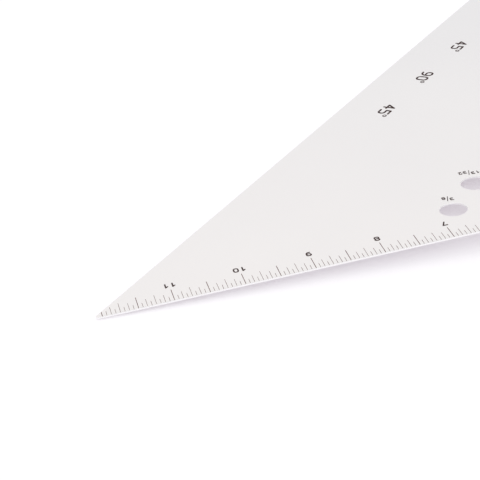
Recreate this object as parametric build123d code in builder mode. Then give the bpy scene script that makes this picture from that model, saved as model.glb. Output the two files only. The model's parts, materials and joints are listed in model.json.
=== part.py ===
from build123d import *
import math
import os
from fractions import Fraction
from itertools import accumulate

# Flat 45-45-90 triangle ruler: one sheet of satin aluminium with a printed inch scale along both legs
# and a row of labelled gauge holes. All sizes are in millimetres. The plate lies on Z = 0, the base leg runs
# along X with its zero at the right, and the upright leg runs along Y from the same square corner.
# The origin is under the middle of the plate's bounding box.

# Plate
leg_length = 308.3            # square corner to the sharp point of each tip
plate_thickness = 0.8
tip_radius = 0.9              # rounding of the two 45 degree tips
square_corner_radius = 1.0
edge_break = 0.12             # deburred edges, also around the gauge holes

# Printed ink
inch = 25.4
ink_thickness = 0.04
divisions_per_inch = 16
line_inset = 0.2              # bare strip between a plate edge and its scale lines
sixteenth_length = 2.8
eighth_length = 4.8
quarter_length = 6.2
half_length = 7.4             # half inch and inch lines are equally long
fine_stroke = 0.13
bold_stroke = 0.22            # half inch and inch lines
scale_end_gap = 3.0           # plate left past the last line, at the tip
tip_gap = 0.4                 # bare strip between a line's inner end and the sloping edge
corner_gap = 0.5              # keeps the two scales apart at the square corner

# Scale numerals
numeral_height = 2.9
numeral_width = 2.1
numeral_stroke = 0.55
numeral_pitch = 2.6           # centre to centre of the figures in one number
numeral_gap = 1.65            # inner end of the inch lines to the numerals

# Gauge holes, in a row a little steeper than the sloping edge, each a clearance over its printed size
gauge_first_size = Fraction(3, 8)
gauge_last_size = Fraction(5, 8)
gauge_size_step = Fraction(1, 32)
gauge_clearance = inch / 32
gauge_row_angle = 47.7        # degrees between the row and the base edge
gauge_web = 10.8              # plate left between neighbouring holes
gauge_base_gap = 2.15         # foot of the base numerals to the edge of the first hole
gauge_upright_gap = 19.85     # foot of the upright numerals to the edge of the last hole

# Gauge labels, printed as fractions on the far side of their holes
label_height = 2.0
label_width = 1.4
label_stroke = 0.38
label_pitch = 1.85            # centre to centre of neighbouring figures
slash_gap = 1.35              # middle of the slash to the middle of the figure beside it
label_gap = 3.5               # edge of the hole to the middle of its label
label_shift = 0.85            # label's middle stands this much nearer to the square corner than its hole
slash_height = 3.6
slash_width = 1.3
slash_stroke = 0.28

# Angle legend, printed along the middle of the sloping edge
legend_height = 5.6
legend_width = 4.0
legend_stroke = 0.85
legend_pitch = 5.0            # centre to centre of the two figures of one angle
legend_spacing = 36.0         # centre to centre of neighbouring angles
legend_edge_gap = 19.5        # sloping edge to the middle of the legend
degree_diameter = 1.9

# Figures as strokes in a cell of width 1 and height 1. Every inner corner of a stroke is rounded.
figure_strokes = {
    "0": [[(0.5, 1), (0, 1), (0, 0), (0.5, 0)], [(0.5, 1), (1, 1), (1, 0), (0.5, 0)]],
    "1": [[(0.15, 0.75), (0.6, 1)], [(0.6, 1), (0.6, 0)]],
    "2": [[(0, 0.75), (0, 1), (1, 1), (1, 0.5), (0, 0)], [(0, 0), (1, 0)]],
    "3": [[(0, 1), (1, 1), (1, 0.5), (0.3, 0.5)], [(0.3, 0.5), (1, 0.5), (1, 0), (0, 0)]],
    "4": [[(0.7, 0), (0.7, 1)], [(0.7, 1), (0, 0.3)], [(0, 0.3), (1, 0.3)]],
    "5": [[(1, 1), (0.05, 1)], [(0.05, 1), (0.05, 0.57)], [(0.05, 0.57), (1, 0.57), (1, 0), (0, 0)]],
    "6": [[(0.9, 1), (0, 1), (0, 0), (0.5, 0)], [(0.5, 0), (1, 0), (1, 0.57), (0, 0.57)]],
    "7": [[(0, 1), (1, 1)], [(1, 1), (0.35, 0)]],
    "8": [
        [(0.5, 1), (0, 1), (0, 0.5), (0.5, 0.5)],
        [(0.5, 1), (1, 1), (1, 0.5), (0.5, 0.5)],
        [(0.5, 0.5), (0, 0.5), (0, 0), (0.5, 0)],
        [(0.5, 0.5), (1, 0.5), (1, 0), (0.5, 0)],
    ],
    "9": [[(0.1, 0), (1, 0), (1, 1), (0.5, 1)], [(0.5, 1), (0, 1), (0, 0.43), (1, 0.43)]],
    "/": [[(0, 0), (1, 1)]],
}
stroke_rounding = 0.9         # share of a stroke's run that its rounded corners take up

# Places worked out from the sizes above
box_length = leg_length - tip_radius * math.sqrt(2)
corner_x = box_length / 2
corner_y = -box_length / 2
numeral_top = line_inset + half_length + numeral_gap
print_depth = numeral_top + numeral_height
division = inch / divisions_per_inch
line_count = math.floor((leg_length - scale_end_gap) / division)
numeral_count = math.floor((leg_length - print_depth - numeral_pitch) / inch)
gauge_radius = {}
size = gauge_first_size
while size <= gauge_last_size:
    gauge_radius[size] = (float(size) * inch + gauge_clearance) / 2
    size += gauge_size_step
radii = list(gauge_radius.values())
gauge_steps = [near + far + gauge_web for near, far in zip(radii, radii[1:])]
row_places = list(accumulate(gauge_steps, initial=0))
row_slope = math.radians(gauge_row_angle)
gauge_first_depth = print_depth + gauge_base_gap + radii[0]
gauge_last_reading = print_depth + gauge_upright_gap + radii[-1]
gauge_place = {}
for size, row_place in zip(gauge_radius, row_places):
    reading = gauge_last_reading + (row_places[-1] - row_place) * math.cos(row_slope)
    gauge_place[size] = (reading, gauge_first_depth + row_place * math.sin(row_slope))

# Drawing planes on the plate's upper face. On each, the local Y axis points at the edge that the print is
# read from. The base scale counts along local +X and the upright scale along local -X, both from the
# square corner.
square_corner = (corner_x, corner_y, plate_thickness)
base_plane = Plane(square_corner, x_dir=(-1, 0, 0), z_dir=(0, 0, 1))
upright_plane = Plane(square_corner, x_dir=(0, -1, 0), z_dir=(0, 0, 1))
slope_middle = (corner_x - leg_length / 2, corner_y + leg_length / 2, plate_thickness)
slope_plane = Plane(slope_middle, x_dir=(-1, -1, 0), z_dir=(0, 0, 1))
scale_direction = {"base": 1, "upright": -1}
scale_plane = {"base": base_plane, "upright": upright_plane}


def save(block, name):
    """Labels a finished piece and writes its file."""
    block.part.label = name
    export_step(block.part, f"parts/{name}.step")


def line_length(reading, full_length):
    """Length of the scale line at a reading, shortened where the plate or the other scale is in its way."""
    to_other_scale = reading - line_inset - corner_gap
    to_sloping_edge = leg_length - reading - line_inset - tip_gap
    return min(full_length, to_other_scale, to_sloping_edge)


def stroke_path(points, width, height):
    """Centre line of one stroke, with its inner corners rounded as far as the runs beside them allow."""
    corners = [Vector((x - 0.5) * width, (y - 0.5) * height) for x, y in points]
    if len(corners) == 2:
        return Wire([Edge.make_line(*corners)])
    runs = [end - start for start, end in zip(corners, corners[1:])]
    reach = [stroke_rounding * run.length for run in runs]
    reach[1:-1] = [length / 2 for length in reach[1:-1]]
    radii = []
    for place in range(len(runs) - 1):
        half_turn = math.radians(runs[place].get_angle(runs[place + 1])) / 2
        radii.append(min(reach[place], reach[place + 1]) / math.tan(half_turn))
    return Wire(FilletPolyline(*corners, radius=radii).edges())


def make_figures(figures, width, height, stroke):
    """Strokes of each figure as centre lines, ready to be drawn with the pen width given."""
    inner = (width - stroke, height - stroke)
    return {
        figure: [stroke_path(points, *inner) for points in figure_strokes[figure]]
        for figure in figures
    }


def draw_row(text, figures, pitch, stroke, middle):
    """Draws the figures of a text in the open sketch, in a row centred on a point."""
    first_x = middle[0] - (len(text) - 1) * pitch / 2
    for place, figure in enumerate(text):
        with Locations((first_x + place * pitch, middle[1])):
            for path in figures[figure]:
                SlotArc(path, stroke)


os.makedirs("parts", exist_ok=True)
numeral_figures = make_figures("0123456789", numeral_width, numeral_height, numeral_stroke)
label_figures = make_figures("0123456789", label_width, label_height, label_stroke)
slash_figure = make_figures("/", slash_width, slash_height, slash_stroke)
legend_figures = make_figures("0459", legend_width, legend_height, legend_stroke)

# Plate: a sheet blank with rounded corners, drilled and deburred
with BuildPart() as triangle_plate:
    with BuildSketch() as blank:
        with BuildLine():
            Polyline(
                (corner_x, corner_y),
                (corner_x, corner_y + leg_length),
                (corner_x - leg_length, corner_y),
                close=True,
            )
        make_face()
        fillet(blank.vertices().sort_by_distance((corner_x, corner_y))[1:], radius=tip_radius)
        fillet(blank.vertices().sort_by_distance((corner_x, corner_y))[0], radius=square_corner_radius)
    extrude(amount=plate_thickness)
    for size, (reading, depth) in gauge_place.items():
        with Locations((corner_x - reading, corner_y + depth, plate_thickness)):
            Hole(radius=gauge_radius[size])
    flat_faces = triangle_plate.faces().filter_by(Axis.Z)
    chamfer(flat_faces.edges(), length=edge_break)
save(triangle_plate, "triangle_plate")

# Scale lines of both legs, one node for each length of line
line_groups = {
    "inch": (divisions_per_inch, half_length, bold_stroke),
    "half": (divisions_per_inch // 2, half_length, bold_stroke),
    "quarter": (divisions_per_inch // 4, quarter_length, fine_stroke),
    "eighth": (divisions_per_inch // 8, eighth_length, fine_stroke),
    "sixteenth": (1, sixteenth_length, fine_stroke),
}
for leg, plane in scale_plane.items():
    taken = set()
    for group, (every, full_length, stroke) in line_groups.items():
        numbers = [number for number in range(every, line_count + 1, every) if number not in taken]
        taken.update(numbers)
        with BuildPart() as scale_lines:
            with BuildSketch(plane):
                for number in numbers:
                    reading = number * division
                    length = line_length(reading, full_length)
                    with Locations((scale_direction[leg] * reading, -line_inset - length / 2)):
                        Rectangle(stroke, length)
            extrude(amount=ink_thickness)
        save(scale_lines, f"{leg}_scale_{group}_lines")

    # Whole inches, read with the edge of the scale at the top
    with BuildPart() as numerals:
        with BuildSketch(plane):
            for number in range(1, numeral_count + 1):
                middle = (scale_direction[leg] * number * inch, -numeral_top - numeral_height / 2)
                draw_row(str(number), numeral_figures, numeral_pitch, numeral_stroke, middle)
        extrude(amount=ink_thickness)
    save(numerals, f"{leg}_scale_numerals")

# Gauge labels: numerator up to the left of the slash, denominator down to the right
figure_rise = (slash_height - label_height) / 2
for size, (reading, depth) in gauge_place.items():
    numerator, denominator = str(size.numerator), str(size.denominator)
    more_below = len(denominator) - len(numerator)
    slash_x = reading - label_shift - more_below * label_pitch / 2
    label_y = -depth - gauge_radius[size] - label_gap
    with BuildPart() as gauge_label:
        with BuildSketch(base_plane):
            draw_row("/", slash_figure, label_pitch, slash_stroke, (slash_x, label_y))
            numerator_x = slash_x - slash_gap - (len(numerator) - 1) * label_pitch / 2
            numerator_middle = (numerator_x, label_y + figure_rise)
            draw_row(numerator, label_figures, label_pitch, label_stroke, numerator_middle)
            denominator_x = slash_x + slash_gap + (len(denominator) - 1) * label_pitch / 2
            denominator_middle = (denominator_x, label_y - figure_rise)
            draw_row(denominator, label_figures, label_pitch, label_stroke, denominator_middle)
        extrude(amount=ink_thickness)
    save(gauge_label, f"gauge_label_{numerator}_{denominator}")

# Angle legend: the three angles of the triangle, read with the sloping edge at the bottom
with BuildPart() as angle_legend:
    with BuildSketch(slope_plane):
        for place, angle in enumerate(("45", "90", "45")):
            angle_x = (place - 1) * legend_spacing
            draw_row(angle, legend_figures, legend_pitch, legend_stroke, (angle_x, legend_edge_gap))
            ring_x = angle_x + legend_pitch + legend_width / 2 - degree_diameter / 2
            with Locations((ring_x, legend_edge_gap + (legend_height - degree_diameter) / 2)):
                Circle(degree_diameter / 2)
                Circle(degree_diameter / 2 - legend_stroke / 2, mode=Mode.SUBTRACT)
    extrude(amount=ink_thickness)
save(angle_legend, "angle_legend")
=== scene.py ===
"""Studio scene of a flat 45 degree triangle ruler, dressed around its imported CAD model.

The plate is remade with softly rounded, deburred edges. The printed lines, figures, hole sizes and angles
are the CAD nodes themselves, dressed as screen print. All lengths are metres unless a name says otherwise.
"""

import json
import logging
import math
from dataclasses import dataclass
from enum import Enum

import bmesh
import bpy
from mathutils import Matrix, Vector


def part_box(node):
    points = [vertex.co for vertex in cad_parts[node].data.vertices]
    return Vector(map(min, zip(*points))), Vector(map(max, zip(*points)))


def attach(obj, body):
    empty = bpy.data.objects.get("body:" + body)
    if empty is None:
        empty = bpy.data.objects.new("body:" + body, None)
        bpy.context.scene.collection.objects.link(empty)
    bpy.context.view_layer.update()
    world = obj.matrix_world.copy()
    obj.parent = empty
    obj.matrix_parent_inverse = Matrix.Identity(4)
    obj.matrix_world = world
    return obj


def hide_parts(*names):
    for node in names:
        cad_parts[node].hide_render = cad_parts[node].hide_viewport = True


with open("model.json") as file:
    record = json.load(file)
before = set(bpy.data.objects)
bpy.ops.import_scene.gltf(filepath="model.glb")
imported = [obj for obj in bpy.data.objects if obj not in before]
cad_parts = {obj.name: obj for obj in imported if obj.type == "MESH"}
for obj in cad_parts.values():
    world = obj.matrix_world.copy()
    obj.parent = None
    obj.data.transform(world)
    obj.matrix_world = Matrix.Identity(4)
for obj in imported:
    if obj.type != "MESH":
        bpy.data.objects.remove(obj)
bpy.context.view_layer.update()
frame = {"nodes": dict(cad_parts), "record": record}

MM = 0.001
BODY = "root"
IMAGE_SIDE_PX = 480
UP = Vector((0, 0, 1))
# The sRGB curve has a straight foot up to its knee, and an offset power law above it.
SRGB_KNEE = 0.04045
SRGB_FOOT_SLOPE = 12.92
SRGB_OFFSET = 0.055
SRGB_POWER = 2.4
# Finer octaves in the noise of the small patterns.
FINE_OCTAVES = 2.0
# Metals have no diffuse share, so all their colour is reflected light.
PURE_METAL = 1.0

log = logging.getLogger("triangle_ruler")


class PlateSurface(Enum):
    """Material slots of the plate: its two broad faces, its cut edges and the walls of its holes."""

    FACE = 0
    EDGE = 1
    BORE = 2


class ScaleLeg(Enum):
    """The two graduated legs, by the first word of their nodes' names."""

    BASE = "base"
    UPRIGHT = "upright"


def linear_colour(code: str) -> tuple[float, float, float, float]:
    """Turns an sRGB hex colour into linear values.

    Args:
        code: Colour as "#RRGGBB".

    Returns:
        Red, green, blue and an alpha of 1, all linear.
    """
    channels = [int(code[start:start + 2], 16) / 255 for start in (1, 3, 5)]
    red, green, blue = (
        value / SRGB_FOOT_SLOPE
        if value <= SRGB_KNEE
        else ((value + SRGB_OFFSET) / (1 + SRGB_OFFSET)) ** SRGB_POWER
        for value in channels
    )
    return red, green, blue, 1.0


def add_node(
    tree: bpy.types.NodeTree, kind: str, inputs: dict[str, object] | None = None, **settings: object
) -> bpy.types.Node:
    """Adds a node with its settings and its inputs.

    Args:
        tree: Node tree that the node joins.
        kind: Blender's name for the kind of node.
        inputs: Input names, each with a value, or with an output socket to link from.
        settings: Values of the node's own properties.

    Returns:
        The new node.
    """
    node = tree.nodes.new(kind)
    for name, value in settings.items():
        setattr(node, name, value)
    for key, value in (inputs or {}).items():
        if isinstance(value, bpy.types.NodeSocket):
            tree.links.new(value, node.inputs[key])
        else:
            node.inputs[key].default_value = value
    return node


def empty_material(name: str) -> bpy.types.Material:
    """Makes a material with an empty node tree.

    Args:
        name: Name of the material.

    Returns:
        The new material.
    """
    material = bpy.data.materials.new(name)
    material.use_nodes = True
    material.node_tree.nodes.clear()
    return material


def mesh_object(name: str, mesh: bmesh.types.BMesh) -> bpy.types.Object:
    """Puts a finished bmesh into the scene as an object at the origin.

    Args:
        name: Name of the object and of its mesh.
        mesh: The bmesh, which is freed.

    Returns:
        The new object.
    """
    data = bpy.data.meshes.new(name)
    mesh.to_mesh(data)
    mesh.free()
    made = bpy.data.objects.new(name, data)
    bpy.context.scene.collection.objects.link(made)
    return made


@dataclass(frozen=True)
class BlastedAluminium:
    """Rolled aluminium sheet, bead blasted and clear anodised: a pale, even satin without direction."""

    name: str = "bead_blasted_anodised_aluminium"
    pale_hex: str = "#F1F0EF"
    deep_hex: str = "#ECEBEB"
    low_roughness: float = 0.3
    high_roughness: float = 0.36
    # Blasting leaves pits of about 0.1 mm, too fine to show, so the grain is drawn five times as coarse.
    grain_mm: float = 0.5
    # The tone of the sheet drifts a little over a hand's width.
    drift_mm: float = 80.0
    drift_octaves: float = 3.0
    pit_depth_mm: float = 0.004

    def make(self) -> bpy.types.Material:
        """Makes the material.

        Returns:
            The new material.
        """
        material = empty_material(self.name)
        tree = material.node_tree
        place = add_node(tree, "ShaderNodeTexCoord")
        drift = add_node(
            tree,
            "ShaderNodeTexNoise",
            {
                "Vector": place.outputs["Object"],
                "Scale": 1 / (self.drift_mm * MM),
                "Detail": self.drift_octaves,
            },
        )
        grain = add_node(
            tree,
            "ShaderNodeTexNoise",
            {
                "Vector": place.outputs["Object"],
                "Scale": 1 / (self.grain_mm * MM),
                "Detail": FINE_OCTAVES,
            },
        )
        colour = add_node(
            tree,
            "ShaderNodeMix",
            {
                "Factor": drift.outputs["Fac"],
                "A": linear_colour(self.deep_hex),
                "B": linear_colour(self.pale_hex),
            },
            data_type="RGBA",
        )
        roughness = add_node(
            tree,
            "ShaderNodeMapRange",
            {
                "Value": grain.outputs["Fac"],
                "To Min": self.low_roughness,
                "To Max": self.high_roughness,
            },
        )
        pits = add_node(
            tree,
            "ShaderNodeBump",
            {"Height": grain.outputs["Fac"], "Distance": self.pit_depth_mm * MM},
        )
        metal = add_node(
            tree,
            "ShaderNodeBsdfPrincipled",
            {
                "Base Color": colour.outputs["Result"],
                "Metallic": PURE_METAL,
                "Roughness": roughness.outputs["Result"],
                "Normal": pits.outputs["Normal"],
            },
        )
        add_node(tree, "ShaderNodeOutputMaterial", {"Surface": metal.outputs["BSDF"]})
        return material


@dataclass(frozen=True)
class DeburredEdge:
    """Cut edge of the sheet, deburred by a file: bright metal with faint strokes across the thickness."""

    name: str = "filed_aluminium_edge"
    pale_hex: str = "#FCFBFA"
    deep_hex: str = "#F5F4F4"
    low_roughness: float = 0.16
    high_roughness: float = 0.26
    # Below pure metal, the rest is a white oxide film that scatters light.
    metallic: float = PURE_METAL
    # File strokes are a few hundredths of a millimetre wide, so they are drawn ten times as wide to show.
    stroke_mm: float = 0.4
    stroke_run_mm: float = 6.0
    stroke_depth_mm: float = 0.003

    def make(self) -> bpy.types.Material:
        """Makes the material.

        Returns:
            The new material.
        """
        material = empty_material(self.name)
        tree = material.node_tree
        place = add_node(tree, "ShaderNodeTexCoord")
        across = 1 / (self.stroke_mm * MM)
        along = 1 / (self.stroke_run_mm * MM)
        stretched = add_node(
            tree,
            "ShaderNodeMapping",
            {"Vector": place.outputs["Object"], "Scale": (across, across, along)},
        )
        # The mapping already carries the pattern's scale.
        strokes = add_node(
            tree,
            "ShaderNodeTexNoise",
            {"Vector": stretched.outputs["Vector"], "Scale": 1.0, "Detail": FINE_OCTAVES},
        )
        colour = add_node(
            tree,
            "ShaderNodeMix",
            {
                "Factor": strokes.outputs["Fac"],
                "A": linear_colour(self.deep_hex),
                "B": linear_colour(self.pale_hex),
            },
            data_type="RGBA",
        )
        roughness = add_node(
            tree,
            "ShaderNodeMapRange",
            {
                "Value": strokes.outputs["Fac"],
                "To Min": self.low_roughness,
                "To Max": self.high_roughness,
            },
        )
        scratches = add_node(
            tree,
            "ShaderNodeBump",
            {"Height": strokes.outputs["Fac"], "Distance": self.stroke_depth_mm * MM},
        )
        metal = add_node(
            tree,
            "ShaderNodeBsdfPrincipled",
            {
                "Base Color": colour.outputs["Result"],
                "Metallic": self.metallic,
                "Roughness": roughness.outputs["Result"],
                "Normal": scratches.outputs["Normal"],
            },
        )
        add_node(tree, "ShaderNodeOutputMaterial", {"Surface": metal.outputs["BSDF"]})
        return material


# A punched hole's wall is torn by the punch and then anodised, so it is a matt, whitish metal.
PUNCHED_BORE = DeburredEdge(
    name="punched_anodised_aluminium_bore", low_roughness=0.6, high_roughness=0.75, metallic=0.4
)


@dataclass(frozen=True)
class ScreenPrint:
    """Black epoxy ink, screen printed and baked: matt and warm, and browner where its film is thin."""

    name: str = "screen_printed_epoxy_ink"
    dense_hex: str = "#2A1614"
    thin_hex: str = "#422926"
    roughness: float = 0.6
    gloss: float = 0.25
    # The screen's threads are about 0.1 mm apart, so its texture is drawn four times as coarse to show.
    screen_mm: float = 0.4
    film_mm: float = 0.002

    def make(self) -> bpy.types.Material:
        """Makes the material.

        Returns:
            The new material.
        """
        material = empty_material(self.name)
        tree = material.node_tree
        place = add_node(tree, "ShaderNodeTexCoord")
        screen = add_node(
            tree,
            "ShaderNodeTexNoise",
            {
                "Vector": place.outputs["Object"],
                "Scale": 1 / (self.screen_mm * MM),
                "Detail": FINE_OCTAVES,
            },
        )
        colour = add_node(
            tree,
            "ShaderNodeMix",
            {
                "Factor": screen.outputs["Fac"],
                "A": linear_colour(self.dense_hex),
                "B": linear_colour(self.thin_hex),
            },
            data_type="RGBA",
        )
        film = add_node(
            tree,
            "ShaderNodeBump",
            {"Height": screen.outputs["Fac"], "Distance": self.film_mm * MM},
        )
        ink = add_node(
            tree,
            "ShaderNodeBsdfPrincipled",
            {
                "Base Color": colour.outputs["Result"],
                "Roughness": self.roughness,
                "Specular IOR Level": self.gloss,
                "Normal": film.outputs["Normal"],
            },
        )
        add_node(tree, "ShaderNodeOutputMaterial", {"Surface": ink.outputs["BSDF"]})
        return material


FIGURE_INK = ScreenPrint()
# Fine lines take up less ink, and a thin film of carbon black looks brown on bright metal.
FINE_LINE_INK = ScreenPrint(name="screen_printed_fine_line_ink", dense_hex="#4A1C19", thin_hex="#60322D")


@dataclass(frozen=True)
class LitAcrylic:
    """Opal acrylic sheet lit softly from below: white, with shadows that stay pale and a little violet."""

    name: str = "backlit_opal_acrylic"
    pale_hex: str = "#E2E6E6"
    deep_hex: str = "#E0E4E4"
    glow_hex: str = "#F8E9F4"
    glow: float = 0.3
    roughness: float = 0.6
    # Without gloss the sheet is evenly white from every side.
    gloss: float = 0.0
    # The sheet's faint unevenness is as wide as a fingertip.
    cloud_mm: float = 12.0

    def make(self) -> bpy.types.Material:
        """Makes the material.

        Returns:
            The new material.
        """
        material = empty_material(self.name)
        tree = material.node_tree
        place = add_node(tree, "ShaderNodeTexCoord")
        cloud = add_node(
            tree,
            "ShaderNodeTexNoise",
            {
                "Vector": place.outputs["Object"],
                "Scale": 1 / (self.cloud_mm * MM),
                "Detail": FINE_OCTAVES,
            },
        )
        colour = add_node(
            tree,
            "ShaderNodeMix",
            {
                "Factor": cloud.outputs["Fac"],
                "A": linear_colour(self.deep_hex),
                "B": linear_colour(self.pale_hex),
            },
            data_type="RGBA",
        )
        acrylic = add_node(
            tree,
            "ShaderNodeBsdfPrincipled",
            {
                "Base Color": colour.outputs["Result"],
                "Roughness": self.roughness,
                "Specular IOR Level": self.gloss,
                "Emission Color": linear_colour(self.glow_hex),
                "Emission Strength": self.glow,
            },
        )
        add_node(tree, "ShaderNodeOutputMaterial", {"Surface": acrylic.outputs["BSDF"]})
        return material


@dataclass
class GaugeHole:
    """One round gauge hole through the plate."""

    centre: Vector
    radius: float

    def draw(self, mesh: bmesh.types.BMesh, segments: int, height: float) -> None:
        """Draws the hole's outline into the bmesh, as a loop of edges at a given height."""
        place = Matrix.Translation((self.centre.x, self.centre.y, height))
        bmesh.ops.create_circle(mesh, segments=segments, radius=self.radius, matrix=place)

    def bounds(self, point: Vector, margin: float) -> bool:
        """Tells whether a point lies on the hole's wall or on its rim, which is as wide as the margin."""
        return (point - self.centre).xy.length < self.radius + margin


@dataclass
class TrianglePlate:
    """The aluminium plate with its gauge holes, its corners and its edges rounded."""

    low: Vector
    high: Vector
    holes: list[GaugeHole]
    node: str = "triangle_plate"
    name: str = "drilled_triangle_plate"
    tip_radius: float = 0.9 * MM
    square_corner_radius: float = 1.0 * MM
    edge_round: float = 0.12 * MM
    corner_segments: int = 12
    hole_segments: int = 72
    edge_segments: int = 3
    # Least upright part of a unit normal: on the flat of a face, and on a face that isn't a wall.
    flat_rise: float = 0.999
    broad_rise: float = 0.5

    @classmethod
    def from_frame(cls, record: dict) -> "TrianglePlate":
        """Reads the plate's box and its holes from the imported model.

        Args:
            record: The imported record, whose bores are the gauge holes.

        Returns:
            The plate, ready to be built.
        """
        low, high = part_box(cls.node)
        bores = [mount for mount in record["mounts"] if mount["kind"] == "bore"]
        holes = [GaugeHole(Vector(bore["pos_m"]), bore["dims"]["r_mm"] * MM) for bore in bores]
        return cls(low, high, holes)

    def sharp_corners(self) -> list[tuple[Vector, float]]:
        """Gives the triangle's corners before rounding, anticlockwise from above.

        Returns:
            Each corner with the radius that rounds it.
        """
        leg = self.high.x - self.low.x + self.tip_radius * math.sqrt(2)
        return [
            (Vector((self.high.x - leg, self.low.y, self.low.z)), self.tip_radius),
            (Vector((self.high.x, self.low.y, self.low.z)), self.square_corner_radius),
            (Vector((self.high.x, self.low.y + leg, self.low.z)), self.tip_radius),
        ]

    def draw_outline(self, mesh: bmesh.types.BMesh) -> None:
        """Draws the rounded outline: an arc spun round each corner, and straight edges between the arcs.

        Args:
            mesh: The bmesh that the outline joins.
        """
        corners = self.sharp_corners()
        arcs = []
        for place, (corner, radius) in enumerate(corners):
            arriving = (corner - corners[place - 1][0]).normalized()
            leaving = (corners[(place + 1) % len(corners)][0] - corner).normalized()
            turn = arriving.angle(leaving)
            start = corner - arriving * radius * math.tan(turn / 2)
            centre = start + UP.cross(arriving) * radius
            first = mesh.verts.new(start)
            spun = bmesh.ops.spin(
                mesh, geom=[first], cent=centre, axis=UP, angle=turn, steps=self.corner_segments
            )
            last = next(item for item in spun["geom_last"] if isinstance(item, bmesh.types.BMVert))
            arcs.append((first, last))
        for place, (_, last) in enumerate(arcs):
            following, _ = arcs[(place + 1) % len(arcs)]
            bmesh.ops.contextual_create(mesh, geom=[last, following])

    def surface_of(self, face: bmesh.types.BMFace) -> PlateSurface:
        """Tells which surface of the plate a face belongs to.

        Args:
            face: A face of the finished plate.

        Returns:
            The surface.
        """
        if abs(face.normal.z) > self.flat_rise:
            return PlateSurface.FACE
        middle = face.calc_center_median()
        if any(hole.bounds(middle, self.edge_round) for hole in self.holes):
            return PlateSurface.BORE
        return PlateSurface.EDGE

    def build(self) -> bpy.types.Object:
        """Fills the outline around the holes, thickens it and rounds every edge.

        Returns:
            The plate's object, which rides on the body and stands for the CAD plate.
        """
        mesh = bmesh.new()
        self.draw_outline(mesh)
        for hole in self.holes:
            hole.draw(mesh, self.hole_segments, self.low.z)
        bmesh.ops.triangle_fill(mesh, use_beauty=True, use_dissolve=True, edges=mesh.edges[:], normal=UP)
        raised = bmesh.ops.extrude_face_region(mesh, geom=mesh.faces[:])
        upper = [item for item in raised["geom"] if isinstance(item, bmesh.types.BMVert)]
        bmesh.ops.translate(mesh, verts=upper, vec=UP * (self.high.z - self.low.z))
        bmesh.ops.recalc_face_normals(mesh, faces=mesh.faces[:])
        broad = {face for face in mesh.faces if abs(face.normal.z) > self.broad_rise}
        rims = [edge for edge in mesh.edges if len(broad.intersection(edge.link_faces)) == 1]
        bmesh.ops.bevel(
            mesh,
            geom=rims,
            offset=self.edge_round,
            affect="EDGES",
            segments=self.edge_segments,
            profile=0.5,
            material=-1,
        )
        for face in mesh.faces:
            surface = self.surface_of(face)
            face.smooth = surface is not PlateSurface.FACE
            face.material_index = surface.value
        plate = mesh_object(self.name, mesh)
        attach(plate, BODY)
        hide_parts(self.node)
        return plate

    def dress(self, plate: bpy.types.Object, finishes: dict[PlateSurface, bpy.types.Material]) -> None:
        """Puts the finish of each surface into the plate's material slots."""
        for surface in PlateSurface:
            plate.data.materials.append(finishes[surface])


@dataclass
class PrintedMarks:
    """A set of printed CAD nodes that share one ink."""

    title: str
    nodes: list[bpy.types.Object]
    finish: ScreenPrint = FIGURE_INK

    def dress(self, ink: bpy.types.Material) -> None:
        """Gives every node of the set its ink.

        Args:
            ink: The ink's material.
        """
        for node in self.nodes:
            node.data.materials.clear()
            node.data.materials.append(ink)
            log.info("%s: %s", self.title, node.name)


@dataclass
class StudioFloor:
    """White sheet under the ruler, which rests on its sloping edge with its square corner raised."""

    contact: Vector
    edge_direction: Vector
    radius: float = 12.0
    tilt_deg: float = 3.5
    clearance: float = 0.02 * MM
    segments: int = 96
    name: str = "studio_floor"

    def build(self) -> bpy.types.Object:
        """Lays the sheet against the sloping edge.

        Returns:
            The floor's object.
        """
        mesh = bmesh.new()
        bmesh.ops.create_circle(mesh, cap_ends=True, segments=self.segments, radius=self.radius)
        turn = Matrix.Rotation(math.radians(self.tilt_deg), 4, self.edge_direction)
        place = Matrix.Translation(self.contact - UP * self.clearance)
        bmesh.ops.transform(mesh, matrix=place @ turn, verts=mesh.verts[:])
        floor = mesh_object(self.name, mesh)
        return floor

    def dress(self, floor: bpy.types.Object, acrylic: bpy.types.Material) -> None:
        """Gives the floor its acrylic."""
        floor.data.materials.append(acrylic)


@dataclass
class SoftBox:
    """A square studio light behind a diffusing cloth, which the metal doesn't mirror."""

    name: str
    place: Vector
    side: float
    power: float
    colour_hex: str

    def build(self, target: Vector) -> bpy.types.Object:
        """Hangs the light and aims it.

        Args:
            target: Point that the light is aimed at.

        Returns:
            The light's object.
        """
        lamp = bpy.data.lights.new(self.name, "AREA")
        lamp.shape = "SQUARE"
        lamp.size = self.side
        lamp.energy = self.power
        lamp.color = linear_colour(self.colour_hex)[:3]
        light = bpy.data.objects.new(self.name, lamp)
        # A mirrored light would bleach the satin plate in some views, so the metal mirrors the room alone.
        light.visible_glossy = False
        light.location = self.place
        light.rotation_mode = "QUATERNION"
        light.rotation_quaternion = (target - self.place).to_track_quat("-Z", "Y")
        bpy.context.scene.collection.objects.link(light)
        return light


# The key hangs high behind the ruler, so that the shadow falls towards the camera.
KEY_LIGHT = SoftBox(
    name="key_softbox", place=Vector((-0.1, 0.7, 1.3)), side=1.2, power=2.0, colour_hex="#FFFBF4"
)
# The fill stands low in front and lightens that shadow.
FILL_LIGHT = SoftBox(
    name="fill_softbox", place=Vector((-0.3, -1.3, 0.5)), side=1.0, power=2.0, colour_hex="#FFFFFF"
)


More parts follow.
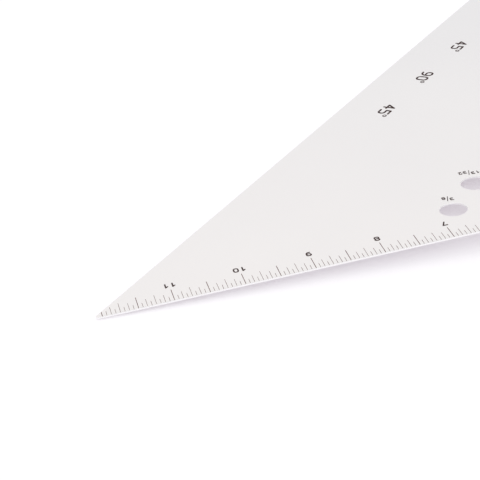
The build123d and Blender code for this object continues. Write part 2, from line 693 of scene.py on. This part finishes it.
@dataclass
class WhiteRoom:
    """Pale surroundings: cool and dim near the horizon, warm and brightest half way up, dimmer overhead."""

    horizon_hex: str = "#9EAAB6"
    wall_hex: str = "#EDE9E7"
    ceiling_hex: str = "#BEBEC0"
    # Height of the brightest wall, as the sine of its elevation.
    wall_height: float = 0.55
    strength: float = 1.39

    def build(self) -> bpy.types.World:
        """Makes the world and sets it.

        Returns:
            The new world.
        """
        world = bpy.data.worlds.new("white_room")
        world.use_nodes = True
        tree = world.node_tree
        tree.nodes.clear()
        direction = add_node(tree, "ShaderNodeTexCoord")
        axes = add_node(tree, "ShaderNodeSeparateXYZ", {"Vector": direction.outputs["Generated"]})
        colour = add_node(tree, "ShaderNodeValToRGB", {"Fac": axes.outputs["Z"]})
        stops = colour.color_ramp.elements
        stops[0].color = linear_colour(self.horizon_hex)
        stops[1].color = linear_colour(self.ceiling_hex)
        stops.new(self.wall_height).color = linear_colour(self.wall_hex)
        light = add_node(
            tree, "ShaderNodeBackground", {"Color": colour.outputs["Color"], "Strength": self.strength}
        )
        add_node(tree, "ShaderNodeOutputWorld", {"Surface": light.outputs["Background"]})
        bpy.context.scene.world = world
        return world


@dataclass
class PhotoCamera:
    """Camera at the photograph's viewing angle, close above the tip of the base scale."""

    place: Vector
    target: Vector
    roll_deg: float
    focal_length_px: float
    sensor_mm: float = 36.0
    near_clip: float = 0.01
    far_clip: float = 100.0

    def build(self) -> bpy.types.Object:
        """Sets up the camera and makes it the scene's own.

        Returns:
            The camera's object.
        """
        optics = bpy.data.cameras.new("photo_camera")
        optics.sensor_width = self.sensor_mm
        optics.lens = self.focal_length_px / IMAGE_SIDE_PX * self.sensor_mm
        optics.clip_start = self.near_clip
        optics.clip_end = self.far_clip
        camera = bpy.data.objects.new("photo_camera", optics)
        level = (self.target - self.place).to_track_quat("-Z", "Y").to_matrix().to_4x4()
        roll = Matrix.Rotation(math.radians(self.roll_deg), 4, "Z")
        camera.matrix_world = Matrix.Translation(self.place) @ level @ roll
        bpy.context.scene.collection.objects.link(camera)
        bpy.context.scene.camera = camera
        return camera


# Fitted to the lines of the scale, both edges and the tip.
PHOTO_CAMERA = PhotoCamera(
    place=Vector((-168.7, -590.1, 260.5)) * MM,
    target=Vector((-95.55, -122.32, 1.08)) * MM,
    roll_deg=-8.22,
    focal_length_px=1478.7,
)


def named_nodes(start: str, end: str = "") -> list[bpy.types.Object]:
    """Picks CAD nodes by the start and the end of their names.

    Args:
        start: First letters of the names.
        end: Last letters of the names.

    Returns:
        The nodes, in the order of their names.
    """
    nodes = frame["nodes"]
    return [nodes[name] for name in sorted(nodes) if name.startswith(start) and name.endswith(end)]


def printed_sets() -> list[PrintedMarks]:
    """Sorts the printed CAD nodes into scale lines, scale figures, hole sizes and angles.

    Returns:
        The sets, in the order in which they are dressed.
    """
    sets = []
    for leg in ScaleLeg:
        sets.append(PrintedMarks(f"{leg.value} lines", named_nodes(leg.value, "lines"), FINE_LINE_INK))
        sets.append(PrintedMarks(f"{leg.value} figures", named_nodes(leg.value, "numerals")))
    sets.append(PrintedMarks("gauge sizes", named_nodes("gauge_label")))
    sets.append(PrintedMarks("angles", named_nodes("angle_legend")))
    return sets


def set_stage(plate: TrianglePlate) -> None:
    """Sets up floor, light, surroundings and camera around the plate.

    Args:
        plate: The plate, whose sloping edge rests on the floor.
    """
    base_tip, _, upright_tip = [corner for corner, _ in plate.sharp_corners()]
    floor_maker = StudioFloor((base_tip + upright_tip) / 2, (upright_tip - base_tip).normalized())
    floor = floor_maker.build()
    floor_maker.dress(floor, LitAcrylic().make())
    log.info("stage: %s", floor.name)
    middle = (plate.low + plate.high) / 2
    for soft_box in (KEY_LIGHT, FILL_LIGHT):
        log.info("light: %s", soft_box.build(middle).name)
    log.info("surroundings: %s", WhiteRoom().build().name)
    log.info("camera: %s", PHOTO_CAMERA.build().name)
    bpy.context.scene.view_settings.view_transform = "Standard"


def main() -> None:
    """Builds and dresses the ruler, then the studio around it."""
    logging.basicConfig(level=logging.INFO, format="%(message)s")
    plate = TrianglePlate.from_frame(frame["record"])
    plate_object = plate.build()
    finishes = {
        PlateSurface.FACE: BlastedAluminium().make(),
        PlateSurface.EDGE: DeburredEdge().make(),
        PlateSurface.BORE: PUNCHED_BORE.make(),
    }
    plate.dress(plate_object, finishes)
    log.info("plate: %s with %d holes", plate_object.name, len(plate.holes))
    inks = {finish: finish.make() for finish in (FIGURE_INK, FINE_LINE_INK)}
    for marks in printed_sets():
        marks.dress(inks[marks.finish])
    set_stage(plate)


if __name__ == "__main__":
    main()
